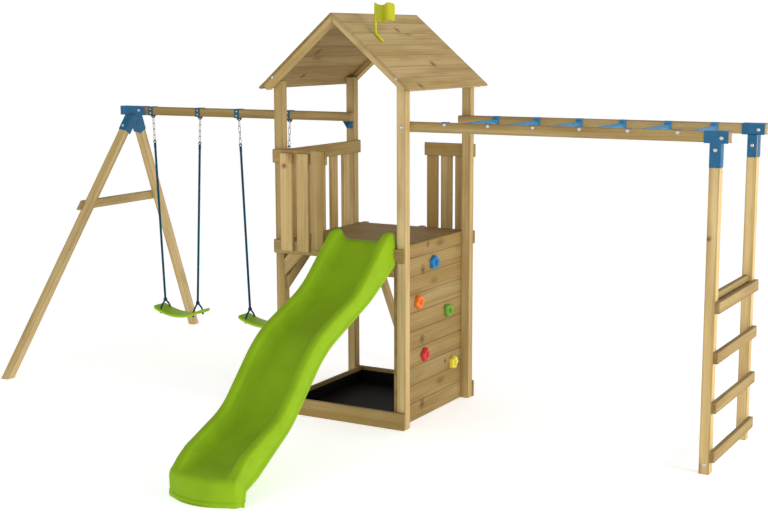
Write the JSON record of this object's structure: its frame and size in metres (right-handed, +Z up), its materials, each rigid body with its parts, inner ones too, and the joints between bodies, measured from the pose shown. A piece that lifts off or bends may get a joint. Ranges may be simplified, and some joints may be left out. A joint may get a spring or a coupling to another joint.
{
  "type": "play tower with slide and swing",
  "caption": "Timber play tower with a gable roof, slide, climbing wall and sandbox, a swing beam on an A-frame at one side and monkey bars with an end ladder at the other.",
  "frame": {"origin": "on the ground, at the middle of the footprint", "axes": "+X along the swing beam and the monkey bars, towards the monkey bars; +Y from the slide to the back ladder; +Z up"},
  "size_m": [5.383, 3.9232, 2.7674],
  "materials": {
    "wood": "pressure-treated softwood, planed, with knots",
    "slide": "moulded plastic, soft gloss",
    "seat": "moulded plastic",
    "bracket": "powder-coated steel",
    "strap": "dark blue-green coated strap and bail",
    "rope": "twisted plastic rope",
    "chain": "bright zinc",
    "liner": "black ground sheet",
    "flag": "moulded plastic",
    "hold_blue": "moulded resin",
    "hold_orange": "moulded resin",
    "hold_green": "moulded resin",
    "hold_red": "moulded resin",
    "hold_yellow": "moulded resin"
  },
  "bodies": {
    "tower": {"back_ladder": "wood", "bar_1": "bracket", "bar_2": "bracket", "bar_3": "bracket", "bar_4": "bracket", "bar_5": "bracket", "bar_6": "bracket", "bar_rail_back": "wood", "bar_rail_front": "wood", "beam_shoe": "bracket", "brace_front": "wood", "brace_left": "wood", "climbing_wall": "wood", "deck": "wood", "end_frame": "wood", "fascia_back": "wood", "fascia_front": "wood", "flag": "flag", "guard_back": "wood", "guard_front": "wood", "guard_left": "wood", "hanger_1_left": "strap", "hanger_1_right": "strap", "hanger_2_left": "strap", "hanger_2_right": "strap", "hold_blue": "hold_blue", "hold_green": "hold_green", "hold_orange": "hold_orange", "hold_red": "hold_red", "hold_yellow": "hold_yellow", "leg_back": "wood", "leg_front": "wood", "leg_tie": "wood", "post_back_left": "wood", "post_back_right": "wood", "post_front_left": "wood", "post_front_right": "wood", "rafters_back": "wood", "rafters_front": "wood", "roof_left": "wood", "roof_right": "wood", "sandbox_back": "wood", "sandbox_front": "wood", "sandbox_left": "wood", "sandbox_liner": "liner", "slide": "slide", "swing_beam": "wood", "swing_bracket": "bracket", "tee_back": "bracket", "tee_front": "bracket"},
    "swing_1": {"swing_1_left_chain": "chain", "swing_1_left_rope": "rope", "swing_1_right_chain": "chain", "swing_1_right_rope": "rope", "swing_1_seat": "seat"},
    "swing_2": {"swing_2_left_chain": "chain", "swing_2_left_rope": "rope", "swing_2_right_chain": "chain", "swing_2_right_rope": "rope", "swing_2_seat": "seat"}
  },
  "joints": [
    {"name": "swing_1_hinge", "type": "hinge", "parent": "tower", "child": "swing_1", "pos_m": [-1.8835, 0.77743, 1.925], "axis": [1, 0, 0], "range_deg": [-60, 60]},
    {"name": "swing_2_hinge", "type": "hinge", "parent": "tower", "child": "swing_2", "pos_m": [-1.053, 0.77743, 1.925], "axis": [1, 0, 0], "range_deg": [-60, 60]}
  ]
}
